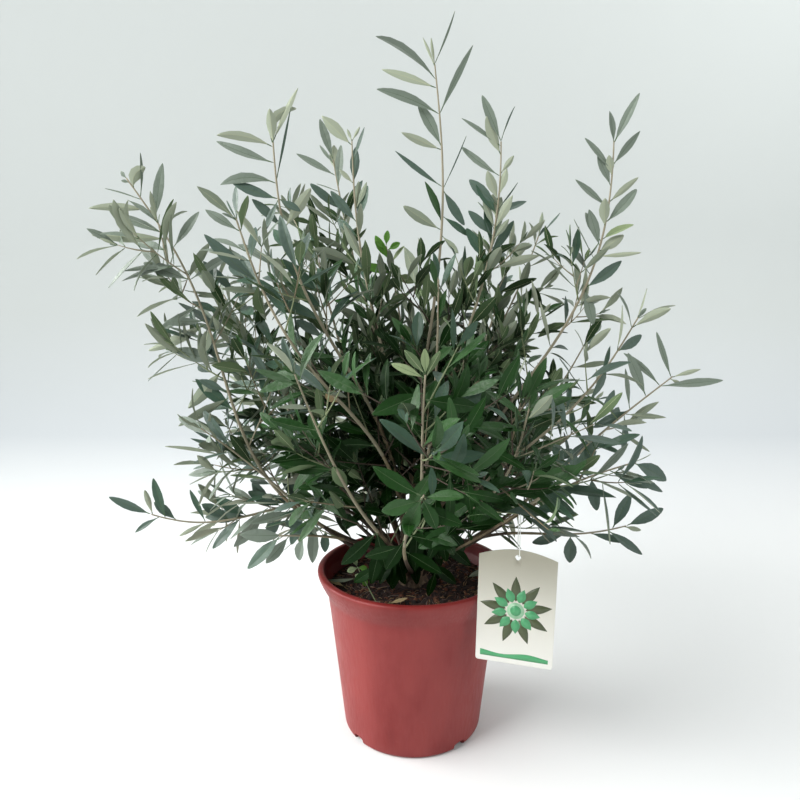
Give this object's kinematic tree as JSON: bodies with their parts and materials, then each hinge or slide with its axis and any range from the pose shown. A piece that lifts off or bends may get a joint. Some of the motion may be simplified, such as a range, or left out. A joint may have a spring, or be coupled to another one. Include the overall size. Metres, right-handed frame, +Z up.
{
  "type": "potted olive tree",
  "caption": "Young olive tree in a flared plastic nursery pot: short gnarled stump, slender boughs, masses of narrow leaves in opposite pairs, and a plant tag hung on a loop.",
  "frame": {"origin": "centre of the pot's flat underside", "axes": "+Z up along the trunk, -Y towards the front, where the tag hangs, +X to the right seen from the front"},
  "size_m": [0.765, 0.635, 0.8746],
  "materials": {
    "pot_plastic": "terracotta-coloured injection-moulded polypropylene, satin",
    "potting_soil": "moist peat and bark compost, matt and crumbly",
    "old_bark": "grey-brown furrowed bark",
    "young_bark": "smooth light brown bark with small pores",
    "olive_leaves": "leathery leaves, dark grey-green above and silvery below",
    "tag_card": "printed plastic card, satin",
    "tag_loop": "translucent nylon strand"
  },
  "bodies": {
    "root": {"pot": "pot_plastic", "soil": "potting_soil", "trunk": "old_bark", "tag": "tag_card", "tag_loop": "tag_loop", "bough_leader": "young_bark", "mass_leader": "olive_leaves", "bough_second_leader": "young_bark", "mass_second_leader": "olive_leaves", "bough_tall_right": "young_bark", "mass_tall_right": "olive_leaves", "bough_shoulder_right": "young_bark", "mass_shoulder_right": "olive_leaves", "bough_mid_right": "young_bark", "mass_mid_right": "olive_leaves", "bough_inner_right": "young_bark", "mass_inner_right": "olive_leaves", "bough_far_right": "young_bark", "mass_far_right": "olive_leaves", "mass_low_right": "olive_leaves", "mass_skirt_right": "olive_leaves", "bough_tall_left": "young_bark", "mass_tall_left": "olive_leaves", "bough_arm_left": "young_bark", "mass_arm_left": "olive_leaves", "bough_sweep_left": "young_bark", "mass_sweep_left": "olive_leaves", "bough_left_back": "young_bark", "mass_left_back": "olive_leaves", "mass_skirt_left": "olive_leaves", "bough_front_left": "young_bark", "mass_front_left": "olive_leaves", "bough_back_left_tall": "young_bark", "mass_back_left_tall": "olive_leaves", "bough_back_mid_tall": "young_bark", "mass_back_mid_tall": "olive_leaves", "bough_back_left": "young_bark", "mass_back_left": "olive_leaves", "bough_centre_back": "young_bark", "mass_centre_back": "olive_leaves", "bough_front_centre": "young_bark", "mass_front_centre": "olive_leaves", "bough_front_high": "young_bark", "mass_front_high": "olive_leaves", "bough_front_right": "young_bark", "mass_front_right": "olive_leaves", "bough_tag_bough": "young_bark", "mass_tag_bough": "olive_leaves", "bough_back_right": "young_bark", "mass_back_right": "olive_leaves", "bough_back": "young_bark", "mass_back": "olive_leaves", "mass_back_low": "olive_leaves", "mass_right_back_low": "olive_leaves", "mass_back_left_low": "olive_leaves", "mass_front_low_centre": "olive_leaves", "mass_front_low_left": "olive_leaves", "mass_left_low": "olive_leaves", "mass_sprout_left": "olive_leaves", "mass_sprout_right": "olive_leaves"}
  },
  "joints": []
}
